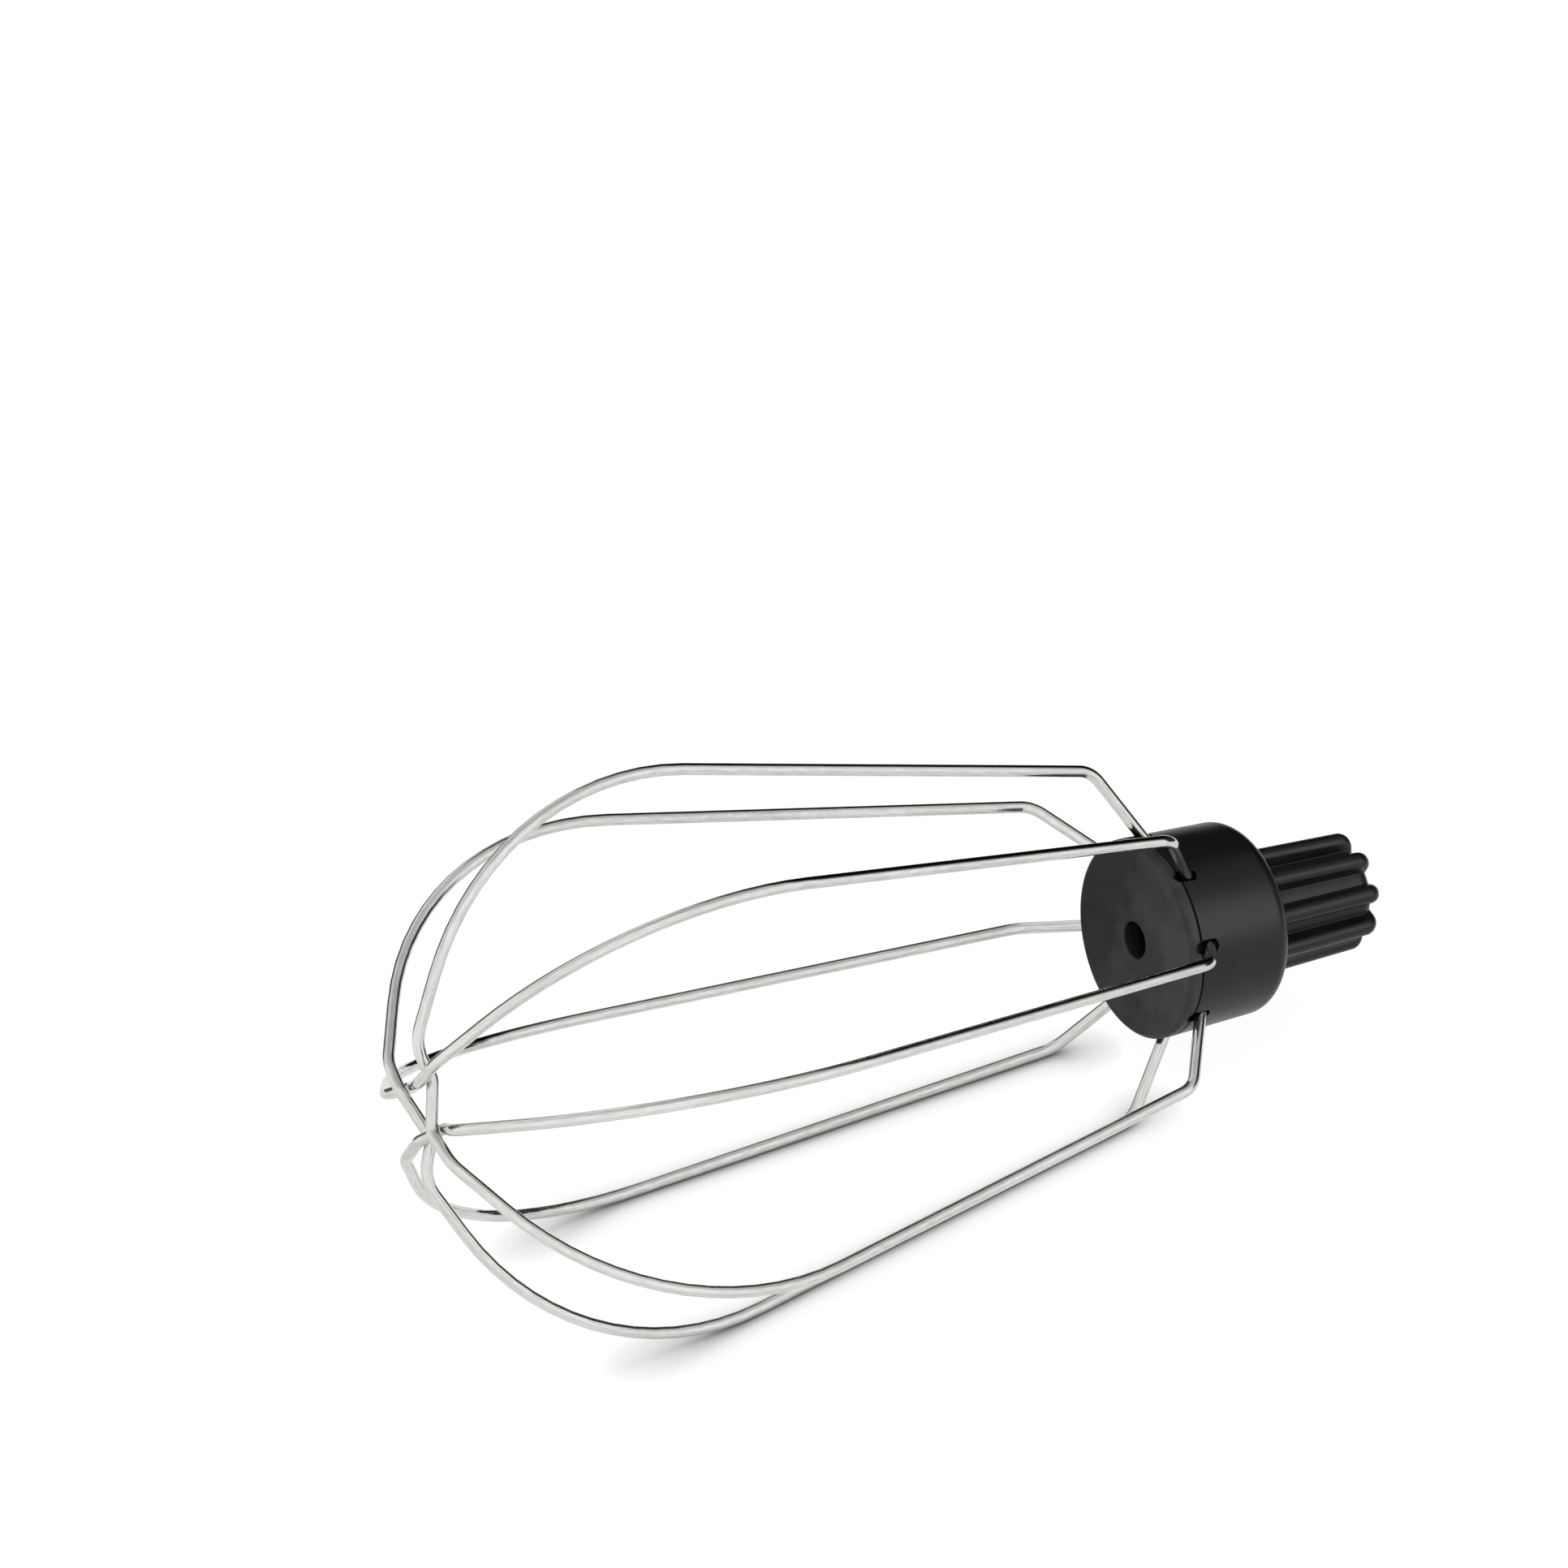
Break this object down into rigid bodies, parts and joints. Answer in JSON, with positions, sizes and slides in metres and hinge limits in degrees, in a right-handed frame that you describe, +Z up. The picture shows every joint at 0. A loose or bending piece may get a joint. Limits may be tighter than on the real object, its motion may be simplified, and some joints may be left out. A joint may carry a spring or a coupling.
{
  "type": "stand mixer wire whisk",
  "caption": "Stand mixer whisk: steel wire loops crossed over and under at the nose, held in a round plastic hub with a splined drive stub.",
  "frame": {"origin": "middle of the footprint, on the surface that the whisk lies on", "axes": "+Z up from that surface; the whisk's axis lies over X, nose towards -X and raised, drive stub towards +X"},
  "size_m": [0.1818, 0.084, 0.0845],
  "materials": {
    "wire": "polished stainless steel wire",
    "hub": "satin black moulded plastic"
  },
  "bodies": {
    "root": {"wire_1": "wire", "wire_2": "wire", "wire_3": "wire", "wire_4": "wire", "hub_body": "hub", "hub_cap": "hub"}
  },
  "joints": []
}
